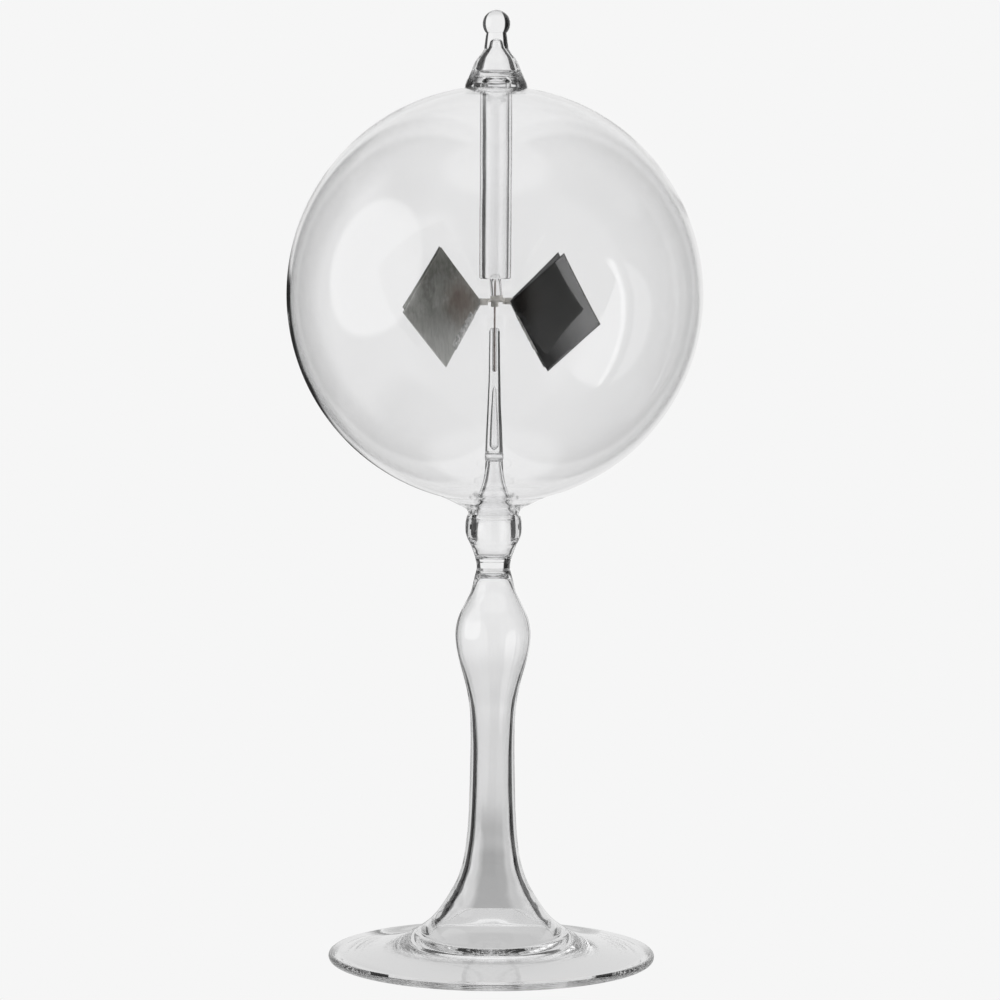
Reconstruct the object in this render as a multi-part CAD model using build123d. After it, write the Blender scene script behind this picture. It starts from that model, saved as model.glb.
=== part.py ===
# Radiometer (light mill) on a blown glass stand.
# Millimetres, +Z up. The origin is on the axis, at the plane that the foot
# rests on. Every glass piece is a turned profile about Z, hollow where the
# blown glass is hollow. The rotor hangs on the point of the steel needle.
from build123d import *
import math
import os

os.makedirs("parts", exist_ok=True)

# ---------------------------------------------------------------- dimensions
# globe
globe_r = 50.0            # outside radius of the blown globe
globe_wall = 0.9          # wall of the globe
globe_z = 161.22          # height of the globe's centre
neck_top_z = 112.94       # where the sphere starts to draw down into its neck
neck_end_z = 108.6        # lower end of the globe's neck

# guide tube that hangs inside the globe
tube_r = 3.85
tube_bore = 2.62
tube_low_z = 165.13
tube_high_z = 211.3

# finial
ball_r = 3.30
ball_z = 225.94
ball_cut_z = 223.75       # seam between the solid ball and the bell
seal_z = 213.1            # seam between the bell and the top seal ring

# stand seams, top to bottom
knop_top_z = 107.4
collar_top_z = 97.2
collar_low_z = 94.9
bulb_low_z = 63.0
column_low_z = 13.5

# foot
foot_r = 39.55            # outside radius of the round foot
rim_half = 1.05           # half the thickness of the rounded rim
land_in = 36.4            # inside radius of the flat land that it stands on
ridge_r = 15.8            # where the hollow flare meets the underside
ridge_z = 4.4

# needle and its glass rod
needle_r = 0.24
needle_tip_z = 165.5
needle_low_z = 142.8
needle_point = 2.2        # length of the tapered point
rod_top_z = 153.33
ring_top_z = 123.6
ring_low_z = 121.3

# rotor
cap_r = 1.35              # outside radius of the glass thimble
cap_bore = 0.88
cap_top = 0.78            # from the needle's point up to the top of the dome
cap_len = 6.1             # whole length of the thimble
cap_lean = 5.2            # degrees that the thimble leans, mouth towards +X
plate_low_z = 159.55      # underside of the spider's plate
plate_t = 0.15
plate_r = 2.27
plate_rim_z = 160.35       # top of the plate's turned-up rim
plate_hole = 0.55
nub_r = 0.92              # drawn collar below the plate
nub_low_z = 158.35
arm_w = 1.1
vane_side = 20.1
vane_t = 0.12
black_t = 0.05
vane_root_r = 4.95        # radius of each vane's inner corner
clip_t = 0.10
clip_start = 4.4          # along the lower inner edge, from the inner corner
clip_end = 14.7
clip_w = 1.8              # how far the clip laps onto the bright face
# azimuth, droop and height of the inner corner of each vane
vanes = [(-41.34, 9.70, 159.80), (43.63, 9.30, 159.75),
         (133.41, 3.90, 159.60), (229.93, 4.05, 159.55)]


# ------------------------------------------------------------------- helpers
def turned(*segments):
    """Solid of revolution about Z from a closed chain of (r, z) runs.
    A run of two points is a straight line, a longer run is a smooth curve."""
    edges = []
    for run in segments:
        pts = [Vector(r, 0, z) for r, z in run]
        edges.append(Line(pts[0], pts[1]) if len(pts) == 2 else Spline(*pts))
    face = Face(Wire(edges))
    return revolve(face, axis=Axis.Z, revolution_arc=360)


def arc_run(cr, cz, rad, a0, a1, n=9):
    """(r, z) points on a circle from angle a0 to a1 in degrees."""
    out = []
    for i in range(n):
        a = math.radians(a0 + (a1 - a0) * i / (n - 1))
        out.append((cr + rad * math.cos(a), cz + rad * math.sin(a)))
    return out


def on_globe(r, rad):
    return math.sqrt(rad * rad - r * r)


# -------------------------------------------------------------------- finial
cut_r = math.sqrt(ball_r ** 2 - (ball_z - ball_cut_z) ** 2)
a_cut = math.degrees(math.atan2(ball_cut_z - ball_z, cut_r))
finial_ball = turned(
    arc_run(0, ball_z, ball_r, a_cut, 90, 13)[:-1] + [(0.0, ball_z + ball_r)],
    [(0.0, ball_z + ball_r), (0.0, ball_cut_z)],
    [(0.0, ball_cut_z), (cut_r, ball_cut_z)])

finial_bell = turned(
    [(2.44, ball_cut_z), (2.55, 223.0), (2.70, 221.8), (2.93, 219.94)],
    [(2.93, 219.94), (3.65, 218.84), (4.66, 217.58), (5.49, 216.13),
     (6.04, 214.6), (6.40, 213.8), (6.66, seal_z)],
    [(6.66, seal_z), (0.0, seal_z)],
    [(0.0, seal_z), (0.0, 213.55)],
    [(0.0, 213.55), (1.8, 213.5), (3.1, 213.55), (3.62, 213.95), (3.66, 214.5),
     (3.50, 215.2), (3.15, 216.4), (2.62, 217.6), (1.90, 218.9),
     (1.35, 220.2), (1.12, 221.2), (0.85, 221.95), (0.0, 222.25)],
    [(0.0, 222.25), (0.0, ball_cut_z)],
    [(0.0, ball_cut_z), (2.44, ball_cut_z)])

z_in = globe_z + on_globe(tube_r, globe_r)
z_rim = globe_z + on_globe(7.5, globe_r)
top_seal_ring = turned(
    [(tube_r, z_in), (5.0, globe_z + on_globe(5.0, globe_r)),
     (6.2, globe_z + on_globe(6.2, globe_r)), (7.5, z_rim)],
    [(7.5, z_rim), (7.44, 211.2), (7.25, 211.9), (6.95, 212.6), (6.66, seal_z)],
    [(6.66, seal_z), (0.0, seal_z)],
    [(0.0, seal_z), (0.0, 212.35)],
    [(0.0, 212.35), (1.2, 212.25), (2.1, 211.95), (tube_bore, tube_high_z)],
    [(tube_bore, tube_high_z), (tube_r, tube_high_z)],
    [(tube_r, tube_high_z), (tube_r, z_in)])

# --------------------------------------------------------------------- globe
inner_r = globe_r - globe_wall
a_top = math.degrees(math.acos(tube_r / globe_r))
a_top_in = math.degrees(math.acos(tube_r / inner_r))
r_neck = on_globe(globe_z - neck_top_z, globe_r)
a_bot = math.degrees(math.atan2(neck_top_z - globe_z, r_neck))
a_bot_in = a_bot + 0.6
rin0 = inner_r * math.cos(math.radians(a_bot_in))
zin0 = globe_z + inner_r * math.sin(math.radians(a_bot_in))


def sphere_run(rad, a0, a1, n):
    run = arc_run(0, globe_z, rad, a0, a1, n)
    return run


outer = [ThreePointArc(Vector(tube_r, 0, globe_z + on_globe(tube_r, globe_r)),
                       Vector(globe_r, 0, globe_z),
                       Vector(r_neck, 0, neck_top_z))]
neck_out = Spline(*[Vector(r, 0, z) for r, z in
                    [(r_neck, neck_top_z), (10.9, 112.0), (9.4, 111.25),
                     (7.9, 110.5), (6.8, 109.9), (6.25, 109.2), (6.05, neck_end_z)]])
neck_in = Spline(*[Vector(r, 0, z) for r, z in
                   [(5.15, neck_end_z), (5.25, 109.4), (5.9, 110.35),
                    (7.2, 111.15), (9.0, 112.0), (10.8, 112.95), (rin0, zin0)]])
inner = ThreePointArc(Vector(rin0, 0, zin0), Vector(inner_r, 0, globe_z),
                      Vector(tube_r, 0, globe_z + on_globe(tube_r, inner_r)))
globe_face = Face(Wire([
    outer[0], neck_out,
    Line(Vector(6.05, 0, neck_end_z), Vector(5.15, 0, neck_end_z)),
    neck_in, inner,
    Line(Vector(tube_r, 0, globe_z + on_globe(tube_r, inner_r)),
         Vector(tube_r, 0, globe_z + on_globe(tube_r, globe_r)))]))
globe = revolve(globe_face, axis=Axis.Z, revolution_arc=360)

guide_tube = turned(
    [(tube_bore, tube_low_z + 0.3), (tube_bore + 0.3, tube_low_z)],
    [(tube_bore + 0.3, tube_low_z), (tube_r - 0.3, tube_low_z)],
    [(tube_r - 0.3, tube_low_z), (tube_r, tube_low_z + 0.3)],
    [(tube_r, tube_low_z + 0.3), (tube_r, tube_high_z)],
    [(tube_r, tube_high_z), (tube_bore, tube_high_z)],
    [(tube_bore, tube_high_z), (tube_bore, tube_low_z + 0.3)])

# ------------------------------------------------------- needle and its stem
# solid rod: a narrow pocket for the needle at the top, a long bubble below it
pocket_r = 0.36
needle_stem_rod = turned(
    [(pocket_r, rod_top_z - 0.15), (0.62, rod_top_z), (1.0, rod_top_z - 0.18),
     (1.24, rod_top_z - 0.65), (1.30, 151.6), (1.33, 149.0), (1.38, 144.0),
     (1.50, 139.0), (1.66, 134.0), (1.88, 129.5), (2.08, 125.0),
     (2.14, ring_top_z)],
    [(2.14, ring_top_z), (0.0, ring_top_z)],
    [(0.0, ring_top_z), (0.0, 123.9)],
    [(0.0, 123.9), (0.30, 124.15), (0.68, 124.7), (0.80, 125.8), (0.76, 127.5),
     (0.66, 130.5), (0.53, 133.5), (0.38, 137.0), (0.20, 138.8), (0.0, 139.4)],
    [(0.0, 139.4), (0.0, needle_low_z)],
    [(0.0, needle_low_z), (pocket_r, needle_low_z)],
    [(pocket_r, needle_low_z), (pocket_r, rod_top_z - 0.15)])

stem_weld_ring = turned(
    [(1.15, ring_low_z), (2.10, ring_low_z)],
    [(2.10, ring_low_z), (2.24, 121.9), (2.26, 122.5), (2.20, 123.1), (2.14, ring_top_z)],
    [(2.14, ring_top_z), (0.0, ring_top_z)],
    [(0.0, ring_top_z), (0.0, 123.40)],
    [(0.0, 123.40), (1.2, 123.36), (1.78, 123.12), (2.00, 122.65), (1.97, 122.1),
     (1.72, 121.72), (1.36, 121.48), (1.15, ring_low_z)])

cone_low_z = neck_end_z
needle_stem_cone = turned(
    [(2.10, ring_low_z), (2.18, 120.0), (2.40, 117.7), (2.76, 115.9),
     (3.30, 114.15), (3.98, 112.0), (4.62, 110.3), (5.15, cone_low_z)],
    [(5.15, cone_low_z), (4.25, cone_low_z)],
    [(4.25, cone_low_z), (3.70, 110.2), (3.05, 112.0), (2.36, 114.15),
     (1.86, 115.9), (1.52, 117.7), (1.32, 119.2), (1.18, 120.4), (1.15, ring_low_z)],
    [(1.15, ring_low_z), (2.10, ring_low_z)])

pivot_needle = turned(
    [(0.0, needle_low_z), (needle_r, needle_low_z)],
    [(needle_r, needle_low_z), (needle_r, needle_tip_z - needle_point)],
    [(needle_r, needle_tip_z - needle_point), (0.03, needle_tip_z)],
    [(0.03, needle_tip_z), (0.0, needle_tip_z)],
    [(0.0, needle_tip_z), (0.0, needle_low_z)])

# ---------------------------------------------------------------- glass stand
neck_seal_ring = turned(
    [(4.25, neck_end_z), (6.05, neck_end_z)],
    [(6.05, neck_end_z), (6.28, 108.3), (6.46, 107.9), (6.55, knop_top_z)],
    [(6.55, knop_top_z), (4.35, knop_top_z)],
    [(4.35, knop_top_z), (4.25, neck_end_z)])

knop = turned(
    [(6.55, knop_top_z), (6.70, 106.8), (6.80, 105.6), (6.78, 104.5),
     (6.55, 103.3), (6.10, 102.2), (5.50, 101.0), (4.95, 99.6),
     (4.50, 98.3), (4.22, collar_top_z)],
    [(4.22, collar_top_z), (0.0, collar_top_z)],
    [(0.0, collar_top_z), (0.0, 97.85)],
    [(0.0, 97.85), (1.6, 97.9), (2.8, 98.1), (3.5, 98.55), (4.0, 99.6),
     (4.5, 100.8), (4.70, 101.9), (4.55, 103.0), (4.36, 104.3), (4.30, 105.6),
     (4.35, knop_top_z)],
    [(4.35, knop_top_z), (6.55, knop_top_z)])

neck_collar = turned(
    [(0.0, collar_low_z), (4.12, collar_low_z)],
    [(4.12, collar_low_z), (4.02, 95.6), (4.04, 96.3), (4.22, collar_top_z)],
    [(4.22, collar_top_z), (0.0, collar_top_z)],
    [(0.0, collar_top_z), (0.0, collar_low_z)])

stand_bulb = turned(
    [(4.12, collar_low_z), (4.28, 94.3), (4.55, 93.3), (4.80, 92.2),
     (5.28, 90.1), (6.35, 87.75), (7.85, 84.8), (8.85, 81.7), (9.08, 78.9),
     (8.72, 75.6), (7.86, 71.9), (6.86, 68.25), (6.16, 65.2), (5.80, bulb_low_z)],
    [(5.80, bulb_low_z), (4.75, bulb_low_z)],
    [(4.75, bulb_low_z), (5.25, 65.2), (6.12, 68.3), (7.35, 72.0),
     (8.26, 75.6), (8.62, 78.9), (8.38, 81.7), (7.34, 84.9), (5.80, 87.8),
     (4.75, 90.1), (4.02, 92.0), (3.45, 93.05), (2.8, 93.65), (1.6, 94.15), (0.0, 94.35)],
    [(0.0, 94.35), (0.0, collar_low_z)],
    [(0.0, collar_low_z), (4.12, collar_low_z)])

stand_column = turned(
    [(5.80, bulb_low_z), (5.54, 60.9), (5.36, 57.5), (5.32, 54.0),
     (5.38, 48.0), (5.52, 41.4), (5.80, 34.1), (6.20, 29.2), (6.95, 24.3),
     (8.02, 20.6), (8.88, 18.6), (9.86, 16.8), (10.85, 15.1), (11.90, column_low_z)],
    [(11.90, column_low_z), (9.45, column_low_z)],
    [(9.45, column_low_z), (8.85, 14.5), (7.9, 16.3), (7.2, 18.0),
     (5.85, 21.8), (5.25, 25.0), (4.70, 29.2), (4.34, 34.0), (4.14, 39.0),
     (4.02, 44.0), (3.95, 48.8), (4.02, 53.6), (4.24, 57.5), (4.75, bulb_low_z)],
    [(4.75, bulb_low_z), (5.80, bulb_low_z)])

rim_r = foot_r - rim_half
foot = turned(
    [(11.90, column_low_z), (12.75, 12.25), (13.60, 11.15), (14.60, 10.05),
     (15.60, 9.15), (17.2, 7.95), (19.2, 6.75), (22.0, 5.50), (26.0, 4.30),
     (31.0, 3.25), (35.5, 2.52), (rim_r, 2 * rim_half)],
    arc_run(rim_r, rim_half, rim_half, 90, -90, 9),
    [(rim_r, 0.0), (land_in, 0.0)],
    [(land_in, 0.0), (31.5, 1.25), (26.0, 2.45), (20.0, 3.55), (17.6, 3.95)],
    [(17.6, 3.95), (16.6, 4.15), (ridge_r, ridge_z + 0.18), (15.25, 5.3),
     (14.6, 6.3), (13.7, 7.6), (12.5, 9.15), (11.1, 10.8), (9.45, column_low_z)],
    [(9.45, column_low_z), (11.90, column_low_z)])

# --------------------------------------------------------------------- rotor
tip = Vector(0, 0, needle_tip_z)


def leaned(shape):
    """Lean a shape made upright about the needle's point, mouth to +X."""
    moved = shape.translate(-tip)
    moved = moved.rotate(Axis.Y, -cap_lean)
    return moved.translate(tip)


dome_z = needle_tip_z + cap_top
mouth_z = dome_z - cap_len
rotor_cap = leaned(turned(
    [(cap_bore, mouth_z), (cap_r - 0.05, mouth_z)],
    [(cap_r - 0.05, mouth_z), (cap_r, mouth_z + 0.08)],
    [(cap_r, mouth_z + 0.08), (cap_r, dome_z - 1.1)],
    [(cap_r, dome_z - 1.1), (1.26, dome_z - 0.62), (0.97, dome_z - 0.22),
     (0.52, dome_z - 0.04), (0.0, dome_z)],
    [(0.0, dome_z), (0.0, needle_tip_z + 0.06)],
    [(0.0, needle_tip_z + 0.06), (0.25, needle_tip_z + 0.02),
     (0.57, needle_tip_z - 0.28), (0.81, needle_tip_z - 0.8), (cap_bore, needle_tip_z - 1.5)],
    [(cap_bore, needle_tip_z - 1.5), (cap_bore, mouth_z)]))

plate_top_z = plate_low_z + plate_t
sleeve = leaned(turned(
    [(cap_r + 0.005, 158.6), (cap_r + 0.16, 158.6)],
    [(cap_r + 0.16, 158.6), (cap_r + 0.16, 161.05)],
    [(cap_r + 0.16, 161.05), (cap_r + 0.005, 161.05)],
    [(cap_r + 0.005, 161.05), (cap_r + 0.005, 158.6)]))
below = Pos(0, 0, plate_top_z - 5) * Box(20, 20, 10)
hub_ferrule = sleeve - below

spider = Pos(0, 0, plate_low_z + plate_t / 2) * Cylinder(plate_r, plate_t)
spider += Pos(0, 0, (nub_low_z + plate_low_z) / 2 + 0.01) * Cylinder(nub_r, plate_low_z - nub_low_z + 0.02)
spider += Pos(0, 0, (plate_low_z + plate_rim_z) / 2) * (
    Cylinder(plate_r, plate_rim_z - plate_low_z) - Cylinder(plate_r - 0.14, plate_rim_z - plate_low_z))
arm_solids = []
vane_nodes = {}
for i, (azim, droop, root_z) in enumerate(vanes, start=1):
    a = math.radians(azim)
    d = math.radians(droop)
    rh = Vector(math.cos(a), math.sin(a), 0)
    nh = Vector(-math.sin(a), math.cos(a), 0)          # bright side
    u = rh * math.cos(d) - Vector(0, 0, math.sin(d))   # along the diagonal
    w = rh * math.sin(d) + Vector(0, 0, math.cos(d))   # up, square to it
    root = rh * vane_root_r + Vector(0, 0, root_z)
    e = (u - w) * (1 / math.sqrt(2))                   # down the inner edge
    m = (u + w) * (1 / math.sqrt(2))                   # into the vane
    # flat arm, from the plate out to its upright tab
    arm = Plane(origin=rh * 1.0 + Vector(0, 0, plate_low_z), x_dir=rh, z_dir=(0, 0, 1)) * \
        (Pos(1.30, 0, plate_t / 2) * Box(2.6, arm_w, plate_t))
    tab_plane = Plane(origin=root + nh * (vane_t + clip_t), x_dir=rh, z_dir=nh)
    # local y of this plane points down
    tab = tab_plane * (Pos(-0.55, 0.0, clip_t / 2) * Box(2.9, 1.5, clip_t))
    arm_solids += [arm, tab]

    # square vane, hung by its inner corner
    s = vane_side
    sheet_plane = Plane(origin=root, x_dir=e, z_dir=e.cross(m))
    nsign = 1 if e.cross(m).dot(nh) > 0 else -1

    def slab(e0, e1, m0, m1, n0, n1, plane=sheet_plane, sg=nsign):
        lo, hi = (n0, n1) if sg > 0 else (-n1, -n0)
        return plane * (Pos((e0 + e1) / 2, (m0 + m1) / 2, (lo + hi) / 2) *
                        Box(e1 - e0, m1 - m0, hi - lo))

    vane_nodes[f"vane_{i}"] = slab(0, s, 0, s, 0, vane_t)
    vane_nodes[f"vane_blacking_{i}"] = slab(0, s, 0, s, -black_t, 0)
    # clip folded over the lower inner edge, with two crimp nicks and a link
    face_n = vane_t
    clip = slab(clip_start, clip_end, -0.12, clip_w, face_n, face_n + clip_t)
    span = clip_end - clip_start
    for k in (1, 2):
        c = clip_start + span * k / 3
        clip -= slab(c - 0.16, c + 0.16, clip_w - 0.45, clip_w + 0.2, face_n - 0.05, face_n + clip_t + 0.05)
    clip += slab(clip_start, clip_end, -0.12, -0.01, -black_t - clip_t, face_n + clip_t)
    clip += slab(clip_start, clip_end, -0.12, 0.22, -black_t - clip_t, -black_t)
    clip += slab(0.05, clip_start + 0.2, 0.05, 0.62, face_n, face_n + clip_t)
    vane_nodes[f"vane_clip_{i}"] = clip

for piece in arm_solids:
    spider += piece
spider -= Pos(0, 0, 159.0) * Cylinder(plate_hole, 4.0)

# -------------------------------------------------------------------- export
nodes = {
    "finial_ball": finial_ball, "finial_bell": finial_bell,
    "top_seal_ring": top_seal_ring, "globe": globe, "guide_tube": guide_tube,
    "needle_stem_rod": needle_stem_rod, "stem_weld_ring": stem_weld_ring,
    "needle_stem_cone": needle_stem_cone, "pivot_needle": pivot_needle,
    "neck_seal_ring": neck_seal_ring, "knop": knop, "neck_collar": neck_collar,
    "stand_bulb": stand_bulb, "stand_column": stand_column, "foot": foot,
    "rotor_cap": rotor_cap, "hub_ferrule": hub_ferrule, "spider": spider,
}
nodes.update(vane_nodes)
for name, shape in nodes.items():
    export_step(shape, f"parts/{name}.step")
    bb = shape.bounding_box()
    print(f"{name:20s} volume {shape.volume:10.3f}  z {bb.min.Z:8.2f} to {bb.max.Z:8.2f}")
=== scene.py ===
# Radiometer on a blown glass stand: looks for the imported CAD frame.
# Lengths in the tables are millimetres, as in the CAD model; meshes are metres.
import bpy
import math

import numpy as np
from mathutils import Matrix, Vector, noise

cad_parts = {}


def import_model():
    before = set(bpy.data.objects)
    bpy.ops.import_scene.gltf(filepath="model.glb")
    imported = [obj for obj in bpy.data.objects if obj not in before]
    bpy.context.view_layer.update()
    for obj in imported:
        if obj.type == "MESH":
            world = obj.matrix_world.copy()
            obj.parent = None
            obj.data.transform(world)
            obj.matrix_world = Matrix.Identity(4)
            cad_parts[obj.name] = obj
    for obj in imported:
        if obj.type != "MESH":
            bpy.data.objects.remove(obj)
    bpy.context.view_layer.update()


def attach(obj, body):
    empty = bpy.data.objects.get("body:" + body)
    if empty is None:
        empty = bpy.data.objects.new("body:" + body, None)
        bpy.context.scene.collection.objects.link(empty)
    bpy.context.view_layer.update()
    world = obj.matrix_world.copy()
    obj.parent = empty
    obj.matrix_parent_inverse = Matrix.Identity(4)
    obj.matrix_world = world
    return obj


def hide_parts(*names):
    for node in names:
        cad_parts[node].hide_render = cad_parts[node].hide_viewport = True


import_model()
MM = 0.001
scene = bpy.context.scene

# ------------------------------------------------------------------ dimensions
GLOBE_R, GLOBE_WALL, GLOBE_Z = 50.0, 0.9, 161.22
NECK_TOP_Z, NECK_END_Z = 112.94, 108.6
TUBE_R, TUBE_BORE, TUBE_LOW_Z, TUBE_HIGH_Z = 3.85, 2.62, 165.13, 211.3
BALL_R, BALL_Z, BALL_CUT_Z, SEAL_Z = 3.30, 225.94, 223.75, 213.1
KNOP_TOP_Z, COLLAR_TOP_Z, COLLAR_LOW_Z = 107.4, 97.2, 94.9
BULB_LOW_Z, COLUMN_LOW_Z = 63.0, 13.5
FOOT_R, RIM_HALF, LAND_IN, RIDGE_R, RIDGE_Z = 39.55, 1.05, 36.4, 15.8, 4.4
NEEDLE_R, TIP_Z, NEEDLE_LOW_Z, POINT = 0.24, 165.5, 142.8, 2.2
ROD_TOP_Z, RING_TOP_Z, RING_LOW_Z = 153.33, 123.6, 121.3
CAP_R, CAP_BORE, CAP_TOP, CAP_LEN, CAP_LEAN = 1.35, 0.88, 0.78, 6.1, 5.2
PLATE_LOW_Z, PLATE_T, PLATE_R, PLATE_HOLE, PLATE_RIM_Z = 159.55, 0.15, 2.27, 0.55, 160.35
NUB_R, NUB_LOW_Z, ARM_W = 0.92, 158.35, 1.1
SIDE, VANE_T, BLACK_T, ROOT_R = 20.1, 0.12, 0.05, 4.95
CLIP_T, CLIP_START, CLIP_END, CLIP_W = 0.10, 4.4, 14.7, 1.8
VANES = [(-41.34, 9.70, 159.80), (43.63, 9.30, 159.75),
         (133.41, 3.90, 159.60), (229.93, 4.05, 159.55)]
GAP = -0.010  # neighbouring welds share this much glass, mm


# ------------------------------------------------------------ curves and meshes
def cubic(pts, step):
    """Natural cubic spline through (r, z) points, resampled about every step mm."""
    p = np.array(pts, float)
    d = np.linalg.norm(np.diff(p, axis=0), axis=1)
    t = np.concatenate([[0.0], np.cumsum(d)])
    n = len(p)
    out = []
    samples = max(3, int(round(t[-1] / step)) + 1)
    ts = np.linspace(0, t[-1], samples)
    for k in range(2):
        y = p[:, k]
        a = np.zeros((n, n))
        b = np.zeros(n)
        a[0, 0] = a[-1, -1] = 1.0
        for i in range(1, n - 1):
            h0, h1 = t[i] - t[i - 1], t[i + 1] - t[i]
            a[i, i - 1], a[i, i], a[i, i + 1] = h0, 2 * (h0 + h1), h1
            b[i] = 6 * ((y[i + 1] - y[i]) / h1 - (y[i] - y[i - 1]) / h0)
        m = np.linalg.solve(a, b)
        idx = np.clip(np.searchsorted(t, ts, side="right") - 1, 0, n - 2)
        h = t[idx + 1] - t[idx]
        u = t[idx + 1] - ts
        v = ts - t[idx]
        out.append(m[idx] * u ** 3 / (6 * h) + m[idx + 1] * v ** 3 / (6 * h)
                   + (y[idx] / h - m[idx] * h / 6) * u
                   + (y[idx + 1] / h - m[idx + 1] * h / 6) * v)
    res = np.stack(out, 1)
    res[0], res[-1] = p[0], p[-1]
    return [tuple(q) for q in res]


def line(a, b, step):
    n = max(1, int(math.ceil(math.dist(a, b) / step)))
    return [(a[0] + (b[0] - a[0]) * i / n, a[1] + (b[1] - a[1]) * i / n) for i in range(n + 1)]


def arc(cr, cz, rad, a0, a1, step):
    n = max(2, int(math.ceil(abs(math.radians(a1 - a0)) * rad / step)))
    return [(cr + rad * math.cos(math.radians(a0 + (a1 - a0) * i / n)),
             cz + rad * math.sin(math.radians(a0 + (a1 - a0) * i / n))) for i in range(n + 1)]


def chain(*runs):
    """Joins runs of (r, z) points into one closed loop without repeated points."""
    loop = []
    for run in runs:
        for q in run:
            if not loop or math.dist(loop[-1], q) > 1e-6:
                loop.append(q)
    if math.dist(loop[0], loop[-1]) < 1e-6:
        loop.pop()
    return loop


def _noise(x, y, z, scale, seed):
    return noise.noise(Vector((x / scale + seed * 5.77, y / scale, z / scale + seed * 17.31)),
                       noise_basis="PERLIN_ORIGINAL")


_rng = np.random.default_rng(907)
_AMP, _PHA = _rng.normal(0, 1, 60), _rng.uniform(0, 2 * math.pi, 60)


def uneven(a, r, z, inner):
    """Radial unevenness in mm of hand-drawn glass, one field for every piece, so that
    it runs on across the welds: slow swells and fine lengthwise draw lines."""
    x, y = r * math.cos(a), r * math.sin(a)
    seed = 4 if inner else 1
    small = min(1.0, r / 3.5)
    big = min(1.0, max(0.0, (r - 9.0) / 14.0)) if z > 100 else 0.0
    d = small * (1 - big) * 0.026 * _noise(x, y, z, 7.0, seed)
    d += big * (0.055 * _noise(x, y, z, 31.0, seed) + 0.010 * _noise(x, y, z * 1.6, 11.0, seed + 2))
    s = 0.0
    for h in range(5, 46, 3):
        s += _AMP[h] * math.cos(h * a + _PHA[h] + (0.05 if inner else 0.02) * z) / h ** 0.5
    stand = 0.0042 if z < 110 else 0.0022
    d += small * (1 - big) * stand * s * (-1 if inner else 1)
    if z < 40:
        d *= min(1.0, max(0.0, (z - 12.0) / 22.0))
    return d


def revolve(name, loop, segs=128, wave=True, matrix=None, bubbles=(), extra=None):
    """Closed mesh turned about Z from a closed (r, z) loop in mm."""
    area = 0.0
    for (r0, z0), (r1, z1) in zip(loop, loop[1:] + loop[:1]):
        area += r0 * z1 - r1 * z0
    if area < 0:
        loop = loop[::-1]
    verts, rings, faces = [], [], []
    for k, (r, z) in enumerate(loop):
        if r < 1e-6:
            rings.append([len(verts)])
            verts.append((0, 0, z))
            continue
        za, zb = loop[k - 1][1], loop[(k + 1) % len(loop)][1]
        inner = (zb - za) < 0
        ring = []
        for j in range(segs):
            a = 2 * math.pi * j / segs
            rr = r + (uneven(a, r, z, inner) if wave else 0.0)
            if extra:
                rr += extra(a, r, z, inner)
            ring.append(len(verts))
            verts.append((rr * math.cos(a), rr * math.sin(a), z))
        rings.append(ring)
    for a, b in zip(rings, rings[1:] + rings[:1]):
        if len(a) == 1 and len(b) == 1:
            continue
        for j in range(segs):
            j2 = (j + 1) % segs
            if len(a) == 1:
                faces.append((a[0], b[j2], b[j]))
            elif len(b) == 1:
                faces.append((a[j], a[j2], b[0]))
            else:
                faces.append((a[j], a[j2], b[j2], b[j]))
    # trapped seeds: small closed voids, so their faces look inwards
    for (bx, by, bz, br, stretch) in bubbles:
        n_u, n_v, base = 16, 9, len(verts)
        verts.append((bx, by, bz + br * stretch))
        for v in range(1, n_v):
            t = math.pi * v / n_v
            for u in range(n_u):
                p = 2 * math.pi * u / n_u
                verts.append((bx + br * math.sin(t) * math.cos(p), by + br * math.sin(t) * math.sin(p),
                              bz + br * stretch * math.cos(t)))
        verts.append((bx, by, bz - br * stretch))
        last = len(verts) - 1
        for u in range(n_u):
            u2 = (u + 1) % n_u
            faces.append((base, base + 1 + u2, base + 1 + u))
            faces.append((last, last - n_u + u, last - n_u + u2))
            for v in range(n_v - 2):
                q0 = base + 1 + v * n_u
                faces.append((q0 + u, q0 + u2, q0 + n_u + u2, q0 + n_u + u))
    return solid(name, verts, faces, matrix)


def solid(name, verts, faces, matrix=None, sharp=32):
    me = bpy.data.meshes.new(name)
    me.from_pydata([(x * MM, y * MM, z * MM) for x, y, z in verts], [], faces)
    if matrix is not None:
        me.transform(matrix)
    me.validate()
    me.polygons.foreach_set("use_smooth", [True] * len(me.polygons))
    me.set_sharp_from_angle(angle=math.radians(sharp))
    me.update()
    ob = bpy.data.objects.new(name, me)
    scene.collection.objects.link(ob)
    return ob


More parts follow.
